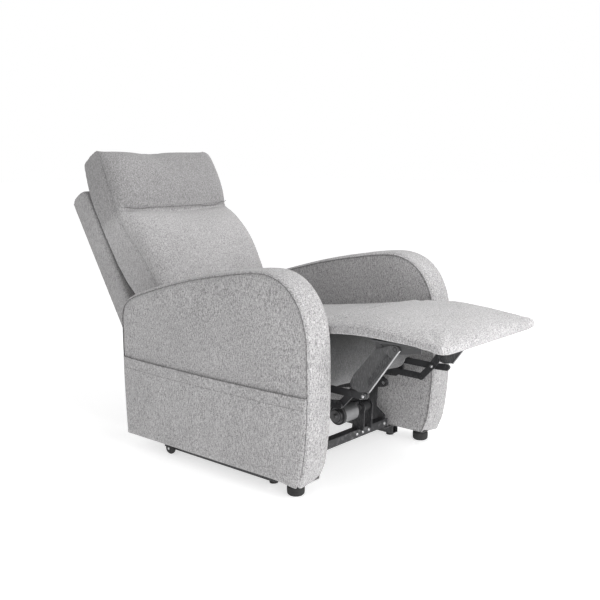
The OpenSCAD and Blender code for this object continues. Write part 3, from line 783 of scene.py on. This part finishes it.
def back_cushion():
    """The back cushion: a lumbar part and a head part, parted by a sewn tuck."""
    low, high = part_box("back_cushion")
    half = (high.x - low.x) / 2 - 0.001
    front = smooth_line(CUSHION_FRONT, 0.008, 2)
    profile = np.concatenate([front, resample(CUSHION_TOP, step=0.008), resample(CUSHION_REAR, step=0.02)])
    start_in = 0.010            # room for the swelling
    seam, side_rear = np.array(SIDE_SEAM), np.array(SIDE_REAR)

    def shape(share, y, z):
        seam_y = float(np.interp(z, seam[:, 1], seam[:, 0]))
        rim = abs(share)
        z += TUCK_RISE * rim ** 2 * math.exp(-((z - TUCK_Z) / 0.09) ** 2)
        round_front = (1 - rim ** 8) ** 0.5 if rim < 1 else 0.0
        corner = max(0.0, rim - 0.8) / 0.2
        if y < seam_y:
            y = seam_y + (y + start_in - seam_y) * round_front
            y = min(y, seam_y)
        elif y > -0.02:
            rear_y = float(np.interp(z, side_rear[:, 1], side_rear[:, 0]))
            y += (min(y, rear_y) - y) * corner ** 0.7
        droop = 0.008 * (1 - rim ** 8) + 0.009 * math.exp(-((share + 0.15) / 0.3) ** 2) - 0.006 * corner ** 6
        z = z - (droop + start_in * 0.5) * max(0.0, min(1.0, (z - 0.70) / 0.06))
        y += waver(share * 0.25, y, z, 6, 0.005, 4.0) * round_front
        return y, z

    points, faces = swept(profile, half, shape, 64)
    points = [back_place(*p) for p in points]
    hinge_axis = np.array([0, math.sin(BACK_LEAN), math.cos(BACK_LEAN)])
    depth_axis = np.array([0, math.cos(BACK_LEAN), -math.sin(BACK_LEAN)])
    origin = np.array(HINGE)

    def tuck_line(x):
        return TUCK_Z + TUCK_RISE * (x / half) ** 2

    def local(co):
        rest = co - origin
        return rest[:, 0], rest @ depth_axis, rest @ hinge_axis

    def hold(co):
        x, y, z = local(co)
        seam_y = np.interp(z, seam[:, 1], seam[:, 0])
        rear = np.clip(y / 0.025, 0, 1)
        at_side = np.clip((np.abs(x) - half + 0.012) / 0.008, 0, 1)
        seam_hold = np.exp(-((y - seam_y) / 0.010) ** 2) * at_side
        within = (y < seam_y + 0.01) * np.clip((0.25 - np.abs(x)) / 0.02, 0, 1)
        tuck = np.exp(-((z - tuck_line(x)) / 0.008) ** 2) * within
        return np.clip(np.maximum.reduce([rear, seam_hold, tuck, 0.75 * at_side]), 0, 1)

    piece = soft_piece("back_cushion_cover", (points, faces), FABRIC_CUSHION, "back", hold, 0.013)
    co = coordinates(piece)
    x, y, z = local(co)
    inside = np.clip((0.253 - np.abs(x)) / 0.02, 0, 1)
    gap = np.abs(z - tuck_line(x)) + 0.1 * (y > -0.06)
    normals = vertex_normals(piece)
    press = inside * (0.007 * np.exp(-(gap / 0.022) ** 2) + 0.011 * np.exp(-(gap / 0.0075) ** 2))
    set_coordinates(piece, co - normals * press[:, None])
    for sign in (-1, 1):
        line = [back_place(sign * half, sy, sz) for sy, sz in SIDE_SEAM]
        groove(piece, line_gap(coordinates(piece), np.array(line)), 0.0035, 0.006)
    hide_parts("back_cushion")
    side_lines = [[(sign * (half - 0.001), sy, sz) for sy, sz in SIDE_SEAM[1:]] for sign in (-1, 1)]
    tuck = [(x, -0.135, tuck_line(x)) for x in np.linspace(-0.244, 0.244, 60)]
    seam_welts("back_cushion_seam", piece, side_lines, 0.3, FABRIC_CUSHION, 0.0014)
    # The tuck's welt is coloured as painted shadow of the tuck's groove.
    seam_welts("back_cushion_tuck", piece, [tuck], 1.0, SEAM_SHADOW, 0.0012)
    return piece


def seam_welts(name, cover, lines, pull, material, radius):
    """Thin sewn welts along a leaned cushion, pulled by this share to the cover's nearest points."""
    co = coordinates(cover)
    parts = []
    for line in lines:
        path = smooth_line([back_place(*p) for p in line], 0.006, 2)
        near = np.array([co[np.argmin(((co - p) ** 2).sum(axis=1))] for p in path])
        padded = np.pad(near, ((6, 6), (0, 0)), "edge")
        near = np.stack([np.convolve(padded[:, k], np.ones(13) / 13, "valid") for k in range(3)], axis=1)
        fitted = path * (1 - pull) + near * pull
        fitted[:, 0] = near[:, 0] if pull < 1 else path[:, 0]
        parts.append(tube(smooth_line(fitted, 0.006, 4), radius))
    points, faces = joined(parts)
    return add_piece(name, points, faces, material, "back", "fabric")


# [y, z] of the seat's upper side, from its front edge to its rear
SEAT_TOP = [(-0.352, 0.499), (-0.300, 0.490), (-0.233, 0.480), (-0.160, 0.470), (-0.092, 0.459),
            (-0.020, 0.449), (0.035, 0.441), (0.100, 0.432), (0.160, 0.424)]


def seat_cushion():
    """The seat cushion, highest at its front edge."""
    low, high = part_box("seat_cushion")
    half = high.x - 0.0005
    base = low.z + 0.0015
    front = [(low.y + 0.003, base), (low.y + 0.001, 0.420), (low.y + 0.001, 0.478), (low.y + 0.006, 0.492)]
    rear = [(high.y - 0.006, 0.414), (high.y - 0.002, 0.396), (high.y - 0.002, base)]
    profile = np.concatenate([smooth_line(front + SEAT_TOP + rear, 0.010, 2),
                              resample([(high.y - 0.03, base), (low.y + 0.03, base)], step=0.03)])
    start_in = 0.010

    def shape(share, y, z):
        rim = abs(share)
        upper = max(0.0, min(1.0, (z - 0.40) / 0.08))
        z -= upper * (0.005 * rim ** 5 + start_in - 0.004 * (1 - rim ** 2))
        z -= upper * 0.005 * max(0.0, (rim - 0.93) / 0.07) ** 2
        y += 0.004 * max(0.0, (rim - 0.9) / 0.1) ** 2 * (1 if y < 0 else -1)
        z += upper * waver(share * 0.25, y, z, 5, 0.004, 1.0)
        return y, z

    def hold(co):
        side = np.clip((np.abs(co[:, 0]) - half + 0.004) / 0.003, 0, 1)
        bottom = np.clip((base + 0.03 - co[:, 2]) / 0.02, 0, 1)
        front_face = np.clip((low.y + 0.006 - co[:, 1]) / 0.004, 0, 1)
        rear_face = np.clip((co[:, 1] - high.y + 0.008) / 0.004, 0, 1)
        return np.maximum.reduce([side * 0.9, bottom, front_face * 0.9, rear_face])

    shell = swept(profile, half, shape, 56)
    piece = soft_piece("seat_cushion_cover", shell, FABRIC, "chassis", hold, 0.014)
    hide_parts("seat_cushion")
    co = coordinates(piece)
    co[:, 0] = np.clip(co[:, 0], -half - 0.003, half + 0.003)
    set_coordinates(piece, co)
    return piece


# [y, z] of the footrest pad's upper side, its underside and the underside's lower edge at its ends
PAD_TOP = [(-0.372, 0.497), (-0.378, 0.505), (-0.400, 0.509), (-0.452, 0.512), (-0.510, 0.516),
           (-0.560, 0.516), (-0.650, 0.509), (-0.729, 0.500), (-0.772, 0.491), (-0.786, 0.483),
           (-0.791, 0.470)]
PAD_UNDER = [(-0.789, 0.459), (-0.782, 0.452), (-0.772, 0.451), (-0.764, 0.457), (-0.755, 0.465),
             (-0.700, 0.467), (-0.600, 0.4675), (-0.500, 0.4675), (-0.400, 0.4675), (-0.376, 0.4685),
             (-0.372, 0.476)]
PAD_SIDE_EDGE = [(-0.790, 0.462), (-0.767, 0.460), (-0.722, 0.467), (-0.686, 0.471), (-0.598, 0.475),
                 (-0.530, 0.478), (-0.475, 0.474), (-0.422, 0.467), (-0.370, 0.466)]


def footrest_cushion():
    """The footrest pad, with a lip that turns down at its front."""
    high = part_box("footrest_pad")[1]
    half = high.x - 0.001
    profile = np.concatenate([smooth_line(PAD_TOP, 0.008, 1), smooth_line(PAD_UNDER, 0.012, 1)])
    edge = np.array(PAD_SIDE_EDGE)
    start_in = 0.006

    def shape(share, y, z):
        rim = abs(share)
        edge_z = float(np.interp(y, edge[:, 0], edge[:, 1]))
        upper = max(0.0, min(1.0, (z - 0.480) / 0.022))
        near_side = max(0.0, (rim - 0.72) / 0.28)
        if upper > 0:
            z -= upper * (0.004 * near_side ** 2 + 0.008 * max(0.0, (rim - 0.93) / 0.07) ** 2 + start_in)
            z += 0.004 * upper * (1 - rim ** 2)
        else:
            z += (edge_z - z) * near_side ** 3
        y += 0.006 * max(0.0, (rim - 0.9) / 0.1) ** 2 * (1 if y < -0.6 else -0.2)
        z += upper * waver(share * 0.25, y, z, 6, 0.002, 7.0)
        return y, z

    def hold(co):
        side = np.clip((np.abs(co[:, 0]) - half + 0.004) / 0.003, 0, 1)
        bottom = np.clip((0.478 - co[:, 2]) / 0.006, 0, 1)
        return np.maximum(side * 0.85, bottom)

    shell = swept(profile, half, shape, 56)
    piece = soft_piece("footrest_cushion", shell, FABRIC, "footrest", hold, 0.009)
    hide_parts("footrest_pad")
    return piece


def back_shell_cover():
    """The padded shell behind the cushion: rounded top, boxed sides, a sewn rear panel."""
    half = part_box("back_shell")[1].x
    front_y, rear_y = 0.033, 0.128
    ring = smooth_line([(front_y, 0.022), (front_y, 0.30), (front_y, 0.672), (0.040, 0.692), (0.058, 0.700),
                        (0.086, 0.701), (0.110, 0.700), (0.124, 0.692), (rear_y, 0.676), (rear_y, 0.35),
                        (rear_y, 0.030), (0.122, 0.022)], 0.008, 1)
    profile = np.concatenate([ring, resample([(0.112, 0.020), (0.043, 0.020)], step=0.015)])
    centre = np.array([0.08, 0.36])

    def shape(share, y, z):
        rim = max(0.0, (abs(share) - 0.955) / 0.045)
        inset = 0.010 * (1 - math.sqrt(max(0.0, 1 - rim ** 2)))
        toward = centre - np.array([y, z])
        y += inset * (1 if toward[0] > 0 else -1)
        z += inset * (1 if toward[1] > 0 else -1) * (1 if abs(toward[1]) > 0.30 else 0)
        if y > 0.11:
            y += 0.004 * (1 - abs(share) ** 6) * min(1.0, (z - 0.02) / 0.08, (0.71 - z) / 0.08)
        return y, z

    points, faces = swept(profile, half, shape, 60)
    points = [back_place(*p) for p in points]
    piece = add_piece("back_shell_cover", points, faces, FABRIC_BACK, "back", "fabric")
    remesh(piece, 0.007)
    relax(piece, 3)
    refine(piece)
    piece.data.materials.clear()
    piece.data.materials.append(FABRIC_BACK)
    rear_seams, lines = [], []
    for sign in (-1, 1):
        rear_seams.append([(sign * (half - 0.012), rear_y + 0.002, z) for z in np.linspace(0.03, 0.690, 40)])
    rear_seams.append([(x, rear_y + 0.0045, 0.17) for x in np.linspace(-half + 0.02, half - 0.02, 40)])
    for line in rear_seams:
        placed = np.array([back_place(*p) for p in line])
        groove(piece, line_gap(coordinates(piece), placed), 0.0028, 0.0055)
        lines.append(tube(placed, 0.0016))
    points, faces = joined(lines)
    add_piece("back_shell_seams", points, faces, FABRIC_BACK, "back", "fabric")
    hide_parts("back_shell")
    return piece


def under_seat_sheet():
    """The dark cloth that hangs in a shallow curve behind the seat's front edge."""
    low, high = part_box("under_seat_cloth")
    seat_low, seat_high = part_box("seat_front_rail")
    front_y = seat_low.y - 0.0022
    path = smooth_line([(front_y, 0.462), (front_y, 0.400), (front_y, 0.350), (front_y, 0.308),
                        (-0.358, 0.288), (-0.332, 0.270), (-0.285, 0.258), (high.y, low.z)], 0.006, 4)
    columns = 61
    half = seat_high.x - 0.004
    points = []
    for layer in (0, 1):
        for i, (y, z) in enumerate(path):
            hang = math.sin(math.pi * i / (len(path) - 1))
            for c in range(columns):
                x = -half + 2 * half * c / (columns - 1)
                fold = 0.0022 * math.sin(x * 34 + 1.2 * math.sin(i * 0.25)) * hang
                fold += waver(x, y, z, 9, 0.004, 3.0) * hang
                below = min(1.0, max(0.0, (seat_low.z - z) / 0.010))
                narrow = 1 - (1 - high.x / half) * below
                points.append((x * narrow, y + fold * 0.5 * below + 0.0009 * layer, z + fold * below))
    piece = add_piece("under_seat_curtain", points, two_layers(len(path), columns), CURTAIN, "chassis",
                      "dark_cloth")
    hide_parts("under_seat_cloth")


# ---------------------------------------------------------------- mechanism trim
def lathe(profile, centre, turns=40):
    """A ring turned about an X axis through centre, from closed [x, radius] points."""
    points = []
    for x, radius in profile:
        for k in range(turns):
            angle = 2 * math.pi * k / turns
            points.append((x, centre[0] + radius * math.cos(angle), centre[1] + radius * math.sin(angle)))
    rows, faces = len(profile), []
    for i in range(rows):
        for k in range(turns):
            faces.append((i * turns + k, i * turns + (k + 1) % turns,
                          (i + 1) % rows * turns + (k + 1) % turns, (i + 1) % rows * turns + k))
    return points, faces


def motor_end_rings():
    """The black flange and collar on the motor's end cap."""
    low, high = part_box("lift_motor")
    axis = ((low.y + high.y) / 2, (low.z + high.z) / 2)
    radius = (high.z - low.z) / 2
    barrel_x = high.x - 0.070
    parts = []
    for x0, x1, inner, outer in ((barrel_x - 0.0055, barrel_x + 0.006, radius - 0.0035, radius + 0.0012),
                                 (barrel_x - 0.014, barrel_x - 0.010, radius - 0.012, radius - 0.009)):
        edge = 0.0008
        parts.append(lathe([(x0, inner), (x0, outer - edge), (x0 + edge, outer), (x1 - edge, outer),
                            (x1, outer - edge), (x1, inner)], axis))
    points, faces = joined(parts)
    add_piece("motor_end_rings", points, faces, PLASTIC, "lift_actuator", "black_plastic")


def domes(spots, radius=0.0052, rise=0.0026):
    """Low domed heads; each spot is a centre and the direction it faces."""
    parts = []
    for centre, out in spots:
        out = Vector(out).normalized()
        side = out.orthogonal().normalized()
        up = out.cross(side)
        points, rings, turns = [], 5, 16
        for i in range(rings):
            bend = math.pi / 2 * i / rings
            for k in range(turns):
                spin = 2 * math.pi * k / turns
                flat = (side * math.cos(spin) + up * math.sin(spin)) * radius * math.cos(bend)
                points.append(tuple(Vector(centre) + flat + out * rise * math.sin(bend)))
        points.append(tuple(Vector(centre) + out * rise))
        faces = [(i * turns + k, i * turns + (k + 1) % turns, (i + 1) * turns + (k + 1) % turns,
                  (i + 1) * turns + k) for i in range(rings - 1) for k in range(turns)]
        faces += [((rings - 1) * turns + k, (rings - 1) * turns + (k + 1) % turns, rings * turns)
                  for k in range(turns)]
        faces.append(tuple(range(turns))[::-1])
        parts.append((points, faces))
    return joined(parts)


def rivet_heads():
    """Bright peened heads on the linkage's rivets, facing inwards and outwards."""
    inner, outer, lower_inner = 0.2055, 0.2272, 0.2120          # X of the heads' seats on the plates
    cross, tip = JOINT_AT["rear_strut_swing"], JOINT_AT["front_strut_swing"]
    lower, tilt = JOINT_AT["lower_link_swing"], JOINT_AT["footrest_tilt"]
    rows = {
        "footrest_drive": [(cross, inner, -1), (tip, outer, 1)],
        "footrest_lower_links": [(lower, lower_inner, -1)],
        "footrest": [(tilt, inner, -1)],
    }
    for body, spots in rows.items():
        heads = [((sign * x, p.y, p.z), (sign * face, 0, 0)) for p, x, face in spots for sign in (-1, 1)]
        points, faces = domes(heads)
        add_piece(f"rivet_heads_{body}", points, faces, STEEL_BRIGHT, body, "bright_steel")


def base_bolts():
    """Bright bolt heads on the front base tube, by the clevis and at its ends."""
    low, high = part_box("front_base_tube")
    middle = (low.z + high.z) / 2
    spots = [((x, low.y, middle), (0, -1, 0)) for x in (-0.235, 0.080, 0.112, 0.145, 0.235)]
    spots += [((sign * 0.246, low.y + 0.008, high.z), (0, 0, 1)) for sign in (-1, 1)]
    points, faces = domes(spots, 0.0058, 0.0034)
    add_piece("base_tube_bolts", points, faces, STEEL_BRIGHT, "base", "bright_steel")


def strut_trim():
    """A dark sheet painted as the shade in the pressed channel, and the bright sheared edge of each front
    strut.
    """
    low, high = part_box("front_strut_left")
    face_x = high.x
    channel = [(low.y + 0.100, low.z + 0.0375), (low.y + 0.028, low.z + 0.1295),
               (low.y + 0.041, low.z + 0.1395), (low.y + 0.101, low.z + 0.0605)]
    edge = resample([(low.y + 0.101, low.z + 0.0225), (low.y + 0.0014, low.z + 0.1560)], step=0.006)
    # The dark sheets are flat black plates laid on the strut's face with no recess cut: painted shade of the
    # pressed channel.
    dark, bright = [], []
    for sign in (-1, 1):
        points = []
        for x in (face_x - 0.0006, face_x + 0.0006):
            points += [(sign * x, y, z) for y, z in channel]
        faces = [(0, 1, 2, 3), (4, 5, 6, 7)] + [(k, (k + 1) % 4, (k + 1) % 4 + 4, k + 4) for k in range(4)]
        dark.append((points, faces))
        for x in (face_x - 0.0065, face_x - 0.0022):
            bright.append(tube([(sign * x, y - 0.0006, z - 0.0004) for y, z in edge], 0.0012))
    points, faces = joined(dark)
    add_piece("strut_channel_shade", points, faces, STEEL_BLACK, "footrest_front_struts", "black_steel",
              smooth=False)
    points, faces = joined(bright)
    add_piece("strut_edges", points, faces, STEEL_BRIGHT, "footrest_front_struts", "bright_steel")


# ---------------------------------------------------------------- stage
def area_light(name, place, target, size, power):
    """A square lamp that faces its target."""
    light = bpy.data.lights.new(name, "AREA")
    light.shape = "SQUARE"
    light.size = size
    light.energy = power
    lamp = bpy.data.objects.new(name, light)
    lamp.location = place
    lamp.rotation_mode = "QUATERNION"
    lamp.rotation_quaternion = (Vector(target) - Vector(place)).to_track_quat("-Z", "Y")
    SCENE.collection.objects.link(lamp)


def stage():
    """The white floor, the surround and the lamps."""
    floor_mesh = bpy.data.meshes.new("studio_floor")
    reach = 30
    corners = [(-reach, -reach, 0), (reach, -reach, 0), (reach, reach, 0), (-reach, reach, 0)]
    floor_mesh.from_pydata(corners, [], [(0, 1, 2, 3)])
    floor = bpy.data.objects.new("studio_floor", floor_mesh)
    SCENE.collection.objects.link(floor)
    material, links, shader = new_material("pale_floor")
    tree = material.node_tree
    cloudy = noise_node(tree, mapped(tree), 3, 2.0)
    links.new(ramp(tree, cloudy, [(0.3, (0.68,) * 3), (0.7, (0.71,) * 3)]), shader.inputs["Base Color"])
    shader.inputs["Roughness"].default_value = 0.9
    shader.inputs["Emission Color"].default_value = (1, 1, 1, 1)
    shader.inputs["Emission Strength"].default_value = 0.60
    floor_mesh.materials.append(material)
    sky()
    SCENE.view_settings.view_transform = "Standard"
    SCENE.view_settings.look = "None"
    area_light("key_light", (-0.45, -3.0, 1.1), (0, -0.2, 0.3), 1.3, 14)
    area_light("near_light", (0.0, -1.35, 0.95), (0, 0.2, 0.5), 0.6, 4)
    area_light("top_light", (0.2, -1.0, 3.0), (0, -0.1, 0.4), 1.4, 32)
    area_light("low_light", (-0.9, -2.1, 0.35), (0.3, -0.3, 0.1), 0.5, 9)


def sky():
    """Studio surround: white round the horizon, dimmer overhead and towards -X."""
    world = bpy.data.worlds.new("studio")
    world.use_nodes = True
    tree = world.node_tree
    background = tree.nodes["Background"]
    direction = tree.nodes.new("ShaderNodeTexCoord")
    split = tree.nodes.new("ShaderNodeSeparateXYZ")
    tree.links.new(direction.outputs["Generated"], split.inputs[0])
    height = math_node(tree, "ABSOLUTE", split.outputs["Z"])
    upwards = ramp(tree, height, [(0.34, (1.0,) * 3), (0.75, (0.5,) * 3)])
    across = math_node(tree, "ADD", split.outputs["X"], 1.0)
    sideways = ramp(tree, across, [(0.35, (0.78,) * 3), (0.95, (1.0,) * 3)])
    tree.links.new(mix_colour(tree, 1.0, upwards, sideways, "MULTIPLY"), background.inputs["Color"])
    background.inputs["Strength"].default_value = 1.0
    SCENE.world = world


def camera():
    """The view of the chair from its front right corner."""
    data = bpy.data.cameras.new("photo_view")
    data.lens = 51.155
    data.sensor_width = 36
    view = bpy.data.objects.new("photo_view", data)
    view.location = (-2.0759, -1.8792, 0.9479)
    view.rotation_euler = (math.radians(90 - 9.380), 0, math.radians(-49.177))
    SCENE.collection.objects.link(view)
    SCENE.camera = view


camera()
stage()
finish_nodes()
for arm_side in SIDES:
    make_arm(arm_side)
seat_cushion()
footrest_cushion()
back_shell_cover()
back_cushion()
under_seat_sheet()
motor_end_rings()
rivet_heads()
base_bolts()
strut_trim()
